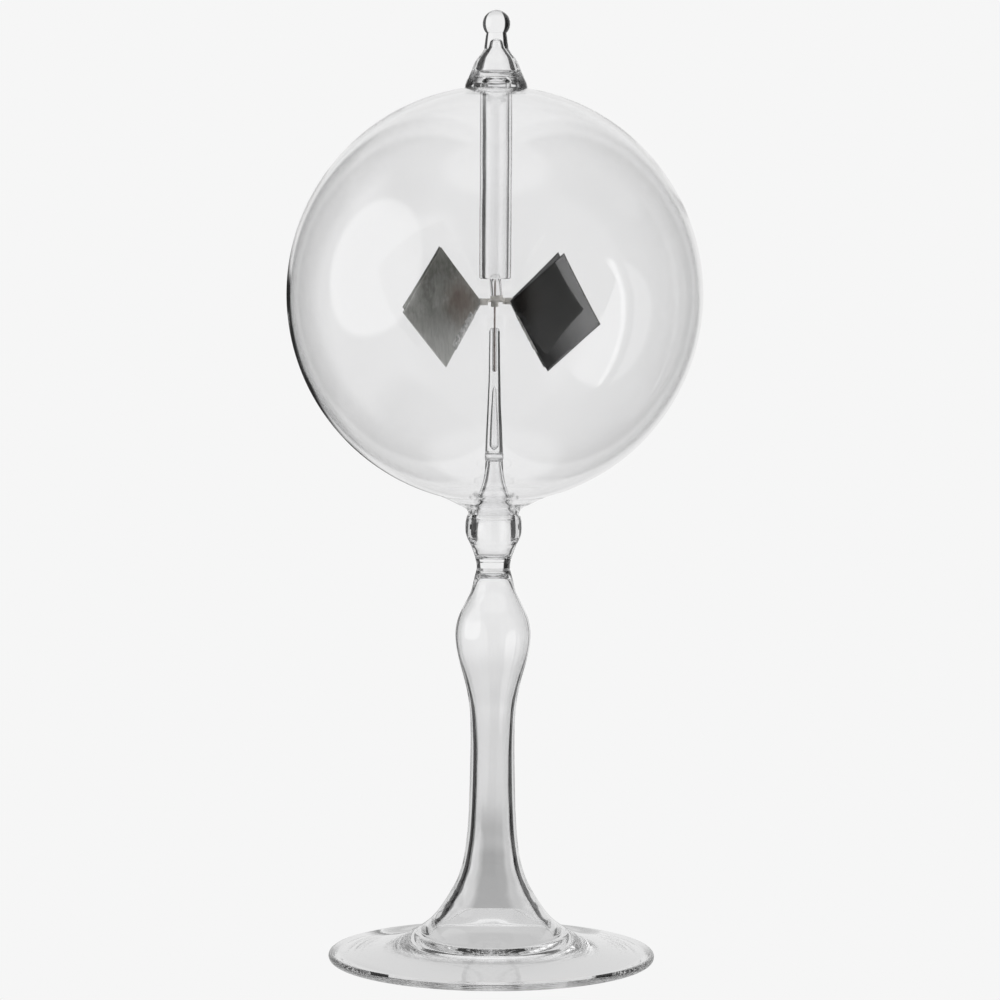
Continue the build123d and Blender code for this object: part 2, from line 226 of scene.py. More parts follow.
# --------------------------------------------------------------------- materials
class Nodes:
    """Short hand for building a node tree."""

    def __init__(self, tree):
        self.t = tree
        self.n = tree.nodes
        self.l = tree.links

    def add(self, kind, **kw):
        node = self.n.new(kind)
        for k, v in kw.items():
            setattr(node, k, v)
        return node

    def put(self, sock, val):
        if isinstance(val, bpy.types.NodeSocket):
            self.l.new(val, sock)
        else:
            sock.default_value = val

    def math(self, op, a, b=0.0, c=0.0, clamp=False):
        node = self.add("ShaderNodeMath", operation=op, use_clamp=clamp)
        for s, v in zip(node.inputs, (a, b, c)):
            self.put(s, v)
        return node.outputs[0]

    def smooth(self, x, lo, hi, to_lo=0.0, to_hi=1.0):
        node = self.add("ShaderNodeMapRange", interpolation_type="SMOOTHSTEP")
        self.put(node.inputs["Value"], x)
        self.put(node.inputs["From Min"], lo)
        self.put(node.inputs["From Max"], hi)
        self.put(node.inputs["To Min"], to_lo)
        self.put(node.inputs["To Max"], to_hi)
        return node.outputs[0]

    def mix(self, f, a, b, kind="RGBA", blend="MIX"):
        node = self.add("ShaderNodeMix", data_type=kind)
        if kind == "RGBA":
            node.blend_type = blend
            ins, out = (node.inputs[0], node.inputs[6], node.inputs[7]), node.outputs[2]
        else:
            ins, out = (node.inputs[0], node.inputs[2], node.inputs[3]), node.outputs[0]
        for s, v in zip(ins, (f, a, b)):
            self.put(s, v)
        return out

    def noise(self, vec, scale, detail=3.0, rough=0.5, dist=0.0):
        node = self.add("ShaderNodeTexNoise")
        self.put(node.inputs["Vector"], vec)
        node.inputs["Scale"].default_value = scale
        node.inputs["Detail"].default_value = detail
        node.inputs["Roughness"].default_value = rough
        node.inputs["Distortion"].default_value = dist
        return node.outputs["Fac"]

    def scale(self, vec, x, y, z):
        node = self.add("ShaderNodeVectorMath", operation="MULTIPLY")
        self.put(node.inputs[0], vec)
        node.inputs[1].default_value = (x, y, z)
        return node.outputs[0]


def material(name):
    m = bpy.data.materials.new(name)
    m.use_nodes = True
    m.node_tree.nodes.clear()
    g = Nodes(m.node_tree)
    out = g.add("ShaderNodeOutputMaterial")
    p = g.add("ShaderNodeBsdfPrincipled")
    g.l.new(p.outputs[0], out.inputs[0])
    return m, g, p


def glass(name, tint, ior=1.47, wave=0.04):
    m, g, p = material(name)
    tc = g.add("ShaderNodeTexCoord").outputs["Object"]
    soft = g.noise(g.scale(tc, 1, 1, 0.35), 60.0, 2.0, 0.5)
    lo = tuple(c * 0.992 for c in tint[:3]) + (1,)
    g.put(p.inputs["Base Color"], g.mix(soft, lo, tint))
    p.inputs["Roughness"].default_value = 0.0
    p.inputs["IOR"].default_value = ior
    p.inputs["Transmission Weight"].default_value = 1.0
    if wave:
        fine = g.noise(g.scale(tc, 1, 1, 0.12), 420.0, 2.0, 0.45, 0.3)
        bump = g.add("ShaderNodeBump")
        bump.inputs["Strength"].default_value = wave
        bump.inputs["Distance"].default_value = 0.0004
        g.put(bump.inputs["Height"], fine)
        g.put(p.inputs["Normal"], bump.outputs[0])
    return m


GLASS = glass("clear_glass", (0.985, 0.985, 0.987, 1), wave=0.02)
GLASS_GLOBE = glass("globe_glass", (0.970, 0.970, 0.972, 1), wave=0.0)

# bright face of the vanes: thin rolled sheet, mottled, with fine vertical grain
def bright_sheet(name, seed, patch):
    m, g, p = material(name)
    uv = g.add("ShaderNodeUVMap", uv_map="vane").outputs[0]
    sep = g.add("ShaderNodeSeparateXYZ")
    g.put(sep.inputs[0], uv)
    u, w = sep.outputs[0], sep.outputs[1]        # 0..1 outwards, -0.5..0.5 up
    off = g.add("ShaderNodeVectorMath", operation="ADD")
    g.put(off.inputs[0], uv)
    off.inputs[1].default_value = (seed * 3.7, seed * 1.9, seed)
    v = off.outputs[0]
    grain = g.noise(g.scale(v, 48, 8.0, 1), 1.0, 4.0, 0.62, 0.1)
    fine = g.noise(g.scale(v, 170, 16, 1), 1.0, 3.0, 0.6)
    blot = g.noise(g.scale(v, 9.0, 6.5, 1), 1.0, 6.0, 0.68, 0.12)
    blot2 = g.noise(g.scale(v, 20, 13, 1), 1.0, 5.0, 0.66, 0.1)
    dark, mid, light = (0.36, 0.362, 0.335, 1), (0.56, 0.565, 0.535, 1), (0.86, 0.865, 0.84, 1)
    base = g.mix(g.smooth(blot, 0.34, 0.60), dark, mid)
    base = g.mix(g.math("MULTIPLY", g.smooth(blot2, 0.45, 0.72), 0.35), base, light)
    # lighter towards the lower corner
    low = g.smooth(g.math("ADD", w, g.math("MULTIPLY", g.math("SUBTRACT", blot, 0.5), 0.5)), -0.02, -0.26)
    base = g.mix(g.math("MULTIPLY", low, 0.62), base, light)
    # brownish heat tint towards the root
    pu, pw, pr = patch
    du = g.math("SUBTRACT", u, pu)
    dw = g.math("SUBTRACT", w, pw)
    dist = g.math("SQRT", g.math("ADD", g.math("MULTIPLY", du, du), g.math("MULTIPLY", dw, dw)))
    dist = g.math("ADD", dist, g.math("MULTIPLY", g.math("SUBTRACT", blot2, 0.5), 0.22))
    warm = g.smooth(dist, pr, 0.03)
    base = g.mix(g.math("MULTIPLY", warm, 0.65), base, (0.40, 0.30, 0.25, 1))
    base = g.mix(g.math("MULTIPLY", g.smooth(grain, 0.35, 0.75), 0.22), base, (0.10, 0.10, 0.09, 1))
    base = g.mix(g.smooth(w, 0.02, 0.40), base, (0.42, 0.42, 0.40, 1), blend="MULTIPLY")
    g.put(p.inputs["Base Color"], base)
    p.inputs["Metallic"].default_value = 0.4
    g.put(p.inputs["Roughness"], g.math("ADD", 0.24, g.math("MULTIPLY", blot, 0.18)))
    bump = g.add("ShaderNodeBump")
    bump.inputs["Strength"].default_value = 0.35
    bump.inputs["Distance"].default_value = 0.00004
    g.put(bump.inputs["Height"], g.math("ADD", g.math("MULTIPLY", grain, 0.7), g.math("MULTIPLY", fine, 0.4)))
    g.put(p.inputs["Normal"], bump.outputs[0])
    return m


def black_coat():
    m, g, p = material("vane_black")
    uv = g.add("ShaderNodeUVMap", uv_map="vane").outputs[0]
    cloud = g.noise(g.scale(uv, 4, 4, 1), 1.0, 4.0, 0.55, 0.4)
    dust = g.noise(g.scale(uv, 140, 120, 1), 1.0, 3.0, 0.7)
    base = g.mix(g.smooth(dust, 0.60, 0.80), (0.0015, 0.0015, 0.0017, 1), (0.006, 0.006, 0.0065, 1))
    g.put(p.inputs["Base Color"], base)
    g.put(p.inputs["Roughness"], g.math("ADD", 0.035, g.math("MULTIPLY", cloud, 0.04)))
    bump = g.add("ShaderNodeBump")
    bump.inputs["Strength"].default_value = 0.02
    bump.inputs["Distance"].default_value = 0.00001
    g.put(bump.inputs["Height"], dust)
    g.put(p.inputs["Normal"], bump.outputs[0])
    p.inputs["Specular IOR Level"].default_value = 1.0
    return m


def sheet_metal(name, dark, light, metallic, rough):
    m, g, p = material(name)
    tc = g.add("ShaderNodeTexCoord").outputs["Object"]
    n1 = g.noise(tc, 700.0, 3.0, 0.55)
    n2 = g.noise(g.scale(tc, 1, 1, 3), 1600.0, 2.0, 0.5)
    g.put(p.inputs["Base Color"], g.mix(g.smooth(n1, 0.35, 0.65), dark, light))
    p.inputs["Metallic"].default_value = metallic
    g.put(p.inputs["Roughness"], g.math("ADD", rough, g.math("MULTIPLY", n1, 0.15)))
    bump = g.add("ShaderNodeBump")
    bump.inputs["Strength"].default_value = 0.10
    bump.inputs["Distance"].default_value = 0.00002
    g.put(bump.inputs["Height"], n2)
    g.put(p.inputs["Normal"], bump.outputs[0])
    return m


def steel():
    m, g, p = material("needle_steel")
    tc = g.add("ShaderNodeTexCoord").outputs["Object"]
    n1 = g.noise(g.scale(tc, 1, 1, 0.2), 3000.0, 3.0, 0.6)
    g.put(p.inputs["Base Color"], g.mix(n1, (0.36, 0.31, 0.29, 1), (0.55, 0.50, 0.48, 1)))
    p.inputs["Metallic"].default_value = 1.0
    g.put(p.inputs["Roughness"], g.math("ADD", 0.22, g.math("MULTIPLY", n1, 0.15)))
    return m


BLACK = black_coat()
SHEET = sheet_metal("clip_metal", (0.66, 0.66, 0.65, 1), (0.93, 0.93, 0.92, 1), 0.25, 0.20)
HUB = sheet_metal("hub_metal", (0.74, 0.72, 0.68, 1), (0.93, 0.91, 0.87, 1), 0.20, 0.30)
STEEL = steel()


def dress(ob, node, body, slot, mat, *extra):
    ob.data.materials.append(mat)
    for e in extra:
        ob.data.materials.append(e)
    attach(ob, body)
    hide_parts(*([node] if isinstance(node, str) else node))
    return ob


# ------------------------------------------------------------------ glass pieces
S = 0.22      # sampling step along a profile, mm
cut_r = math.sqrt(BALL_R ** 2 - (BALL_Z - BALL_CUT_Z) ** 2)
a_cut = math.degrees(math.atan2(BALL_CUT_Z + GAP - BALL_Z, cut_r))
loops = {}
loops["finial_ball"] = chain(
    arc(0, BALL_Z, BALL_R, a_cut, 90, S)[:-1] + [(0.0, BALL_Z + BALL_R)],
    [(0.0, BALL_CUT_Z + GAP), (cut_r, BALL_CUT_Z + GAP)])
BELL_OUT = cubic([(2.93, 219.94), (3.65, 218.84), (4.66, 217.58), (5.49, 216.13), (6.04, 214.6),
                  (6.40, 213.8), (6.66, SEAL_Z)], S)
loops["finial_bell"] = chain(
    cubic([(2.44, BALL_CUT_Z - GAP), (2.55, 223.0), (2.70, 221.8), (2.93, 219.94)], S),
    BELL_OUT[:-1] + [(6.66, SEAL_Z + GAP)],
    [(0.0, SEAL_Z + GAP)],
    cubic([(0.0, 213.55), (1.8, 213.5), (3.1, 213.55), (3.62, 213.95), (3.66, 214.5), (3.50, 215.2),
           (3.15, 216.4), (2.62, 217.6), (1.90, 218.9), (1.35, 220.2), (1.12, 221.2), (0.85, 221.95),
           (0.0, 222.25)], S),
    [(0.0, BALL_CUT_Z - GAP)])


def on_globe(r, rad):
    return GLOBE_Z + math.sqrt(rad * rad - r * r)


inner_r = GLOBE_R - GLOBE_WALL
r_neck = math.sqrt(GLOBE_R ** 2 - (GLOBE_Z - NECK_TOP_Z) ** 2)
a_bot = math.degrees(math.atan2(NECK_TOP_Z - GLOBE_Z, r_neck))
a_bot_in = a_bot + 0.6
rin0 = inner_r * math.cos(math.radians(a_bot_in))
zin0 = GLOBE_Z + inner_r * math.sin(math.radians(a_bot_in))
tg = TUBE_R + GAP
loops["globe"] = chain(
    cubic([(6.66, SEAL_Z - GAP), (6.95, 212.6), (7.25, 211.9), (7.44, 211.2),
           (7.5, on_globe(7.5, GLOBE_R))], 0.12),
    arc(0, GLOBE_Z, GLOBE_R, math.degrees(math.acos(7.5 / GLOBE_R)), a_bot, 0.8),
    cubic([(r_neck, NECK_TOP_Z), (10.9, 112.0), (9.4, 111.25), (7.9, 110.5), (6.8, 109.9),
           (6.25, 109.2), (6.05, NECK_END_Z + GAP)], S),
    [(5.15, NECK_END_Z + GAP)],
    cubic([(5.15, NECK_END_Z + GAP), (5.25, 109.4), (5.9, 110.35), (7.2, 111.15), (9.0, 112.0),
           (10.8, 112.95), (rin0, zin0)], S),
    arc(0, GLOBE_Z, inner_r, a_bot_in, math.degrees(math.acos(tg / inner_r)), 0.8),
    [(tg, TUBE_HIGH_Z + GAP), (TUBE_BORE, TUBE_HIGH_Z + GAP)],
    cubic([(TUBE_BORE, TUBE_HIGH_Z + GAP), (2.1, 211.95), (1.2, 212.25), (0.0, 212.35)], S),
    [(0.0, SEAL_Z - GAP)])
loops["guide_tube"] = chain(
    arc(TUBE_BORE + 0.42, TUBE_LOW_Z + 0.42, 0.42, 180, 270, 0.1),
    arc(TUBE_R - 0.42, TUBE_LOW_Z + 0.42, 0.42, 270, 360, 0.1),
    line((TUBE_R, TUBE_LOW_Z + 0.42), (TUBE_R, TUBE_HIGH_Z), 0.6),
    line((TUBE_BORE, TUBE_HIGH_Z), (TUBE_BORE, TUBE_LOW_Z + 0.42), 0.6))
POCKET = 0.36
loops["needle_stem_rod"] = chain(
    cubic([(POCKET, ROD_TOP_Z - 0.15), (0.62, ROD_TOP_Z), (1.0, ROD_TOP_Z - 0.18),
           (1.24, ROD_TOP_Z - 0.65), (1.30, 151.6), (1.33, 149.0), (1.38, 144.0), (1.50, 139.0),
           (1.66, 134.0), (1.88, 129.5), (2.08, 125.0), (2.14, RING_TOP_Z + GAP)], 0.2),
    [(0.0, RING_TOP_Z + GAP), (0.0, 123.9)],
    cubic([(0.0, 123.9), (0.30, 124.15), (0.68, 124.7), (0.80, 125.8), (0.76, 127.5), (0.66, 130.5),
           (0.53, 133.5), (0.38, 137.0), (0.20, 138.8), (0.0, 139.4)], 0.16),
    [(0.0, NEEDLE_LOW_Z - GAP)],
    cubic([(0.0, NEEDLE_LOW_Z - GAP), (0.22, NEEDLE_LOW_Z + 0.04), (POCKET, NEEDLE_LOW_Z + 0.3)], 0.06),
    line((POCKET, NEEDLE_LOW_Z + 0.3), (POCKET, ROD_TOP_Z - 0.15), 0.6))
loops["stem_weld_ring"] = chain(
    cubic([(0.0, 123.40), (1.2, 123.36), (1.78, 123.12), (2.00, 122.65), (1.97, 122.1), (1.72, 121.72),
           (1.36, 121.48), (1.15, RING_LOW_Z + GAP)], 0.1),
    cubic([(2.10, RING_LOW_Z + GAP), (2.24, 121.9), (2.26, 122.5), (2.20, 123.1),
           (2.14, RING_TOP_Z - GAP)], 0.12),
    [(0.0, RING_TOP_Z - GAP)])
loops["needle_stem_cone"] = chain(
    cubic([(2.10, RING_LOW_Z - GAP), (2.18, 120.0), (2.40, 117.7), (2.76, 115.9), (3.30, 114.15),
           (3.98, 112.0), (4.62, 110.3), (5.15 - 2 * GAP, NECK_END_Z + GAP)], S),
    [(4.25, NECK_END_Z + GAP)],
    cubic([(4.25, NECK_END_Z + GAP), (3.70, 110.2), (3.05, 112.0), (2.36, 114.15), (1.86, 115.9),
           (1.52, 117.7), (1.32, 119.2), (1.18, 120.4), (1.15, RING_LOW_Z - GAP)], S))
loops["neck_seal_ring"] = chain(
    [(4.25, NECK_END_Z - GAP)],
    cubic([(6.05, NECK_END_Z - GAP), (6.28, 108.3), (6.46, 107.9), (6.55, KNOP_TOP_Z + GAP)], 0.12),
    [(4.35, KNOP_TOP_Z + GAP)])
loops["knop"] = chain(
    cubic([(6.55, KNOP_TOP_Z - GAP), (6.70, 106.8), (6.80, 105.6), (6.78, 104.5), (6.55, 103.3),
           (6.10, 102.2), (5.50, 101.0), (4.95, 99.6), (4.50, 98.3), (4.22, COLLAR_TOP_Z + GAP)], S),
    [(0.0, COLLAR_TOP_Z + GAP), (0.0, 97.85)],
    cubic([(0.0, 97.85), (1.6, 97.9), (2.8, 98.1), (3.5, 98.55), (4.0, 99.6), (4.5, 100.8),
           (4.70, 101.9), (4.55, 103.0), (4.36, 104.3), (4.30, 105.6), (4.35, KNOP_TOP_Z - GAP)], S))
loops["neck_collar"] = chain(
    [(0.0, COLLAR_LOW_Z + GAP)],
    cubic([(4.12, COLLAR_LOW_Z + GAP), (4.02, 95.6), (4.04, 96.3), (4.22, COLLAR_TOP_Z - GAP)], 0.15),
    [(0.0, COLLAR_TOP_Z - GAP)])
rim_r = FOOT_R - RIM_HALF
loops["stand_bulb"] = chain(
    cubic([(4.12, COLLAR_LOW_Z - GAP), (4.28, 94.3), (4.55, 93.3), (4.80, 92.2), (5.28, 90.1),
           (6.35, 87.75), (7.85, 84.8), (8.85, 81.7), (9.08, 78.9), (8.72, 75.6), (7.86, 71.9),
           (6.86, 68.25), (6.16, 65.2), (5.80, BULB_LOW_Z), (5.54, 60.9), (5.36, 57.5), (5.32, 54.0),
           (5.38, 48.0), (5.52, 41.4), (5.80, 34.1), (6.20, 29.2), (6.95, 24.3), (8.02, 20.6),
           (8.88, 18.6), (9.86, 16.8), (10.85, 15.1), (11.90, COLUMN_LOW_Z), (12.75, 12.25),
           (13.60, 11.15), (14.60, 10.05), (15.60, 9.15), (17.2, 7.95), (19.2, 6.75), (22.0, 5.50),
           (26.0, 4.30), (31.0, 3.25), (35.5, 2.52), (rim_r, 2 * RIM_HALF)], 0.36),
    arc(rim_r, RIM_HALF, RIM_HALF, 90, -90, 0.14),
    line((rim_r, 0.0), (LAND_IN, 0.0), 0.6),
    cubic([(LAND_IN, 0.0), (31.5, 1.25), (26.0, 2.45), (20.0, 3.55), (17.6, 3.95)], 0.5),
    cubic([(17.6, 3.95), (16.6, 4.15), (RIDGE_R, RIDGE_Z + 0.18), (15.25, 5.3), (14.6, 6.3),
           (13.7, 7.6), (12.5, 9.15), (11.1, 10.8), (9.45, COLUMN_LOW_Z)], 0.25),
    cubic([(9.45, COLUMN_LOW_Z), (8.85, 14.5), (7.9, 16.3), (7.2, 18.0), (5.85, 21.8), (5.25, 25.0),
           (4.70, 29.2), (4.34, 34.0), (4.14, 39.0), (4.02, 44.0), (3.95, 48.8), (4.02, 53.6),
           (4.24, 57.5), (4.75, BULB_LOW_Z), (5.25, 65.2), (6.12, 68.3), (7.35, 72.0),
           (8.26, 75.6), (8.62, 78.9), (8.38, 81.7), (7.34, 84.9), (5.80, 87.8), (4.75, 90.1),
           (4.02, 92.0), (3.45, 93.05), (2.8, 93.65), (1.6, 94.15), (0.0, 94.35)], 0.36),
    [(0.0, COLLAR_LOW_Z - GAP)])

SEGS = {"globe": 240, "stand_bulb": 224, "guide_tube": 128, "knop": 144, "finial_bell": 128,
        "neck_seal_ring": 128, "neck_collar": 128, "needle_stem_cone": 112}
JOINED = {"globe": ("globe", "top_seal_ring"), "stand_bulb": ("stand_bulb", "stand_column", "foot")}
SEEDS = {"globe": [(30.0, -39.1, 130.0 + 31.22 - 22.0, 0.14, 1.6), (-12.1, -43.4, 138.2, 0.10, 1.3),
                   (22.0, 40.5, 143.4, 0.12, 2.0)]}
for name, loop in loops.items():
    ob = revolve(name + "_glass", loop, SEGS.get(name, 96))
    mat = {"globe": GLASS_GLOBE}.get(name, GLASS)
    dress(ob, JOINED.get(name, name), "root", "clear_glass", mat)

# pivot needle: ground steel wire with a long point
loops_needle = chain(
    [(0.0, NEEDLE_LOW_Z), (NEEDLE_R, NEEDLE_LOW_Z)],
    line((NEEDLE_R, NEEDLE_LOW_Z), (NEEDLE_R, TIP_Z - POINT), 1.0),
    cubic([(NEEDLE_R, TIP_Z - POINT), (0.20, TIP_Z - 1.5), (0.12, TIP_Z - 0.6), (0.03, TIP_Z - 0.03)], 0.2),
    [(0.0, TIP_Z)])
dress(revolve("pivot_needle_steel", loops_needle, 40, False), "pivot_needle", "root", "needle_steel", STEEL)

# ------------------------------------------------------------------------- rotor
tip = Vector((0, 0, TIP_Z * MM))
LEAN = Matrix.Translation(tip) @ Matrix.Rotation(math.radians(-CAP_LEAN), 4, "Y") @ Matrix.Translation(-tip)
dome_z, mouth_z = TIP_Z + CAP_TOP, TIP_Z + CAP_TOP - CAP_LEN
loops_cap = chain(
    arc(CAP_BORE + 0.12, mouth_z + 0.12, 0.12, 180, 270, 0.03),
    arc(CAP_R - 0.14, mouth_z + 0.14, 0.14, 270, 360, 0.03),
    line((CAP_R, mouth_z + 0.14), (CAP_R, dome_z - 1.1), 0.4),
    cubic([(CAP_R, dome_z - 1.1), (1.26, dome_z - 0.62), (0.97, dome_z - 0.22), (0.52, dome_z - 0.04),
           (0.0, dome_z)], 0.1),
    [(0.0, TIP_Z + 0.06)],
    cubic([(0.0, TIP_Z + 0.06), (0.25, TIP_Z + 0.02), (0.57, TIP_Z - 0.28), (0.81, TIP_Z - 0.8),
           (CAP_BORE, TIP_Z - 1.5)], 0.1),
    line((CAP_BORE, TIP_Z - 1.5), (CAP_BORE, mouth_z + 0.12), 0.4))
dress(revolve("rotor_cap_glass", loops_cap, 72, True, matrix=LEAN),
      "rotor_cap", "rotor", "clear_glass", GLASS)


def vane_frame(i):
    azim, droop, root_z = VANES[i]
    a, d = math.radians(azim), math.radians(droop)
    rh = Vector((math.cos(a), math.sin(a), 0))
    nh = Vector((-math.sin(a), math.cos(a), 0))
    u = rh * math.cos(d) - Vector((0, 0, math.sin(d)))
    w = rh * math.sin(d) + Vector((0, 0, math.cos(d)))
    e, m = (u - w) / math.sqrt(2), (u + w) / math.sqrt(2)
    return rh * ROOT_R + Vector((0, 0, root_z)), e, m, nh


# slight hand-made bend of each sheet: (along e, along m, twist) in mm over the vane
BENDS = [(0.18, 0.10, -0.22), (-0.15, 0.12, 0.10), (0.14, -0.12, 0.12), (0.16, 0.08, -0.10)]


def warp(i, e, m):
    a, b, c = BENDS[i]
    x, y = 2 * e / SIDE - 1, 2 * m / SIDE - 1
    return a * (x * x - 0.4) + b * (y * y - 0.4) + c * x * y - (a * 0.6 + b * 0.6 + c) * 0.0


def sheet(i, name, n0, n1, mat_face, mat_edge, div=28, inset=0.0):
    """Thin square sheet from normal offset n0 to n1, following the vane's bend."""
    root, ev, mv, nv = vane_frame(i)
    pts, faces, uvs = [], [], []
    ramp = [inset] + [inset + 0.05] + list(np.linspace(inset + 0.4, SIDE - inset - 0.4, div)) + \
        [SIDE - inset - 0.05, SIDE - inset]
    k = len(ramp)
    c = 0.03 if (n1 - n0) > 0.08 else 0.012
    for layer, n in ((0, n0), (1, n1)):
        for a in range(k):
            for b in range(k):
                e_, m_ = ramp[a], ramp[b]
                edge = a in (0, k - 1) or b in (0, k - 1)
                nn = n + (c if edge else 0) * (1 if layer == 0 else -1)
                q = root + ev * e_ + mv * m_ + nv * (nn + warp(i, e_, m_))
                pts.append(tuple(q))
                uvs.append(((e_ + m_) / SIDE / 2, (m_ - e_) / SIDE / 2))
    flip = ev.cross(mv).dot(nv) > 0

    def add(f):
        faces.append(f if flip else f[::-1])
    for a in range(k - 1):
        for b in range(k - 1):
            i0 = a * k + b
            add((i0, i0 + 1, i0 + k + 1, i0 + k))                  # layer 0, faces -n
            j0 = i0 + k * k
            add((j0, j0 + k, j0 + k + 1, j0 + 1))                  # layer 1, faces +n
    o = k * k
    for a in range(k - 1):
        add((a * k, a * k + k, a * k + k + o, a * k + o))
        b0 = a * k + k - 1
        add((b0, b0 + o, b0 + k + o, b0 + k))
        add((a, a + o, a + 1 + o, a + 1))
        c0 = (k - 1) * k + a
        add((c0, c0 + 1, c0 + 1 + o, c0 + o))
    ob = solid(name, pts, faces, sharp=50)
    me = ob.data
    layer = me.uv_layers.new(name="vane")
    for lp in me.loops:
        layer.data[lp.index].uv = uvs[lp.vertex_index]
    return ob


def band(i, name, rects, bevel=0.018):
    """Folded strip pieces: boxes in the vane's own (e, m, n) axes, joined, with soft edges."""
    import bmesh
    root, ev, mv, nv = vane_frame(i)
    bm = bmesh.new()
    for (e0, e1, m0, m1, n0, n1) in rects:
        ne = max(1, int((e1 - e0) / 0.8))
        vs = []
        for a in range(ne + 1):
            e_ = e0 + (e1 - e0) * a / ne
            row = []
            for (m_, n_) in ((m0, n0), (m1, n0), (m1, n1), (m0, n1)):
                q = root + ev * e_ + mv * m_ + nv * (n_ + warp(i, max(0, e_), max(0, m_)))
                row.append(bm.verts.new(q * MM))
            vs.append(row)
        for a in range(ne):
            for b in range(4):
                b2 = (b + 1) % 4
                bm.faces.new((vs[a][b], vs[a + 1][b], vs[a + 1][b2], vs[a][b2]))
        bm.faces.new((vs[0][0], vs[0][1], vs[0][2], vs[0][3]))
        bm.faces.new((vs[ne][3], vs[ne][2], vs[ne][1], vs[ne][0]))
    bmesh.ops.recalc_face_normals(bm, faces=bm.faces)
    edges = [e for e in bm.edges if len(e.link_faces) == 2 and e.calc_face_angle() > 0.9]
    bmesh.ops.bevel(bm, geom=edges, offset=bevel * MM, segments=2, profile=0.6, affect="EDGES")
    me = bpy.data.meshes.new(name)
    bm.to_mesh(me)
    bm.free()
    me.polygons.foreach_set("use_smooth", [True] * len(me.polygons))
    me.set_sharp_from_angle(angle=math.radians(38))
    ob = bpy.data.objects.new(name, me)
    scene.collection.objects.link(ob)
    return ob


def boxes(name, parts, bevel=0.02):
    """Soft-edged boxes: each part is (origin, x, y, z axes, six limits) in mm."""
    import bmesh
    bm = bmesh.new()
    for (o, ax, ay, az, (x0, x1, y0, y1, z0, z1)) in parts:
        vs = [bm.verts.new((o + ax * x + ay * y + az * z) * MM)
              for z in (z0, z1) for (x, y) in ((x0, y0), (x1, y0), (x1, y1), (x0, y1))]
        for f in ((0, 1, 2, 3), (4, 5, 6, 7), (0, 1, 5, 4), (1, 2, 6, 5), (2, 3, 7, 6), (3, 0, 4, 7)):
            bm.faces.new([vs[k] for k in f])
    bmesh.ops.recalc_face_normals(bm, faces=bm.faces)
    bmesh.ops.bevel(bm, geom=list(bm.edges), offset=bevel * MM, segments=2, profile=0.6, affect="EDGES")
    return bm


def spider_mesh():
    """Stamped cross: cup-shaped plate with a drawn collar, four arms with upright tabs."""
    parts = []
    up = Vector((0, 0, 1))
    for i in range(4):
        azim, droop, root_z = VANES[i]
        a = math.radians(azim)
        rh, nh = Vector((math.cos(a), math.sin(a), 0)), Vector((-math.sin(a), math.cos(a), 0))
        parts.append((rh * 1.0 + up * PLATE_LOW_Z, rh, nh, up, (0.3, 2.6, -ARM_W / 2, ARM_W / 2, 0.0, PLATE_T)))
        root = rh * ROOT_R + up * root_z + nh * (VANE_T + CLIP_T)
        parts.append((root, rh, up, nh, (-2.0, 0.9, -0.75, 0.75, 0.0, CLIP_T)))
    bm = boxes("spider", parts)
    r0, r1, zr = PLATE_R - 0.14, PLATE_R, PLATE_RIM_Z
    loop = chain(
        [(PLATE_HOLE, NUB_LOW_Z + 0.03), (PLATE_HOLE + 0.04, NUB_LOW_Z), (NUB_R - 0.16, NUB_LOW_Z),
         (NUB_R - 0.05, NUB_LOW_Z + 0.05), (NUB_R, NUB_LOW_Z + 0.18), (NUB_R, PLATE_LOW_Z)],
        [(r1 - 0.12, PLATE_LOW_Z), (r1 - 0.03, PLATE_LOW_Z + 0.03), (r1, PLATE_LOW_Z + 0.14),
         (r1, zr - 0.05), (r1 - 0.03, zr), (r0 + 0.03, zr), (r0, zr - 0.05), (r0, PLATE_LOW_Z + 0.22),
         (r0 - 0.08, PLATE_LOW_Z + PLATE_T)],
        [(PLATE_HOLE + 0.03, PLATE_LOW_Z + PLATE_T), (PLATE_HOLE, PLATE_LOW_Z + PLATE_T - 0.03)])
    segs, rings = 72, []
    for (r, z) in loop:
        rings.append([bm.verts.new((r * math.cos(2 * math.pi * j / segs) * MM,
                                    r * math.sin(2 * math.pi * j / segs) * MM, z * MM)) for j in range(segs)])
    for a, b in zip(rings, rings[1:] + rings[:1]):
        for j in range(segs):
            bm.faces.new((a[j], a[(j + 1) % segs], b[(j + 1) % segs], b[j]))
    me = bpy.data.meshes.new("spider_plate")
    bm.to_mesh(me)
    bm.free()
    me.polygons.foreach_set("use_smooth", [True] * len(me.polygons))
    me.set_sharp_from_angle(angle=math.radians(38))
    ob = bpy.data.objects.new("spider_plate", me)
    scene.collection.objects.link(ob)
    return ob


dress(spider_mesh(), "spider", "rotor", "sheet_metal", HUB)


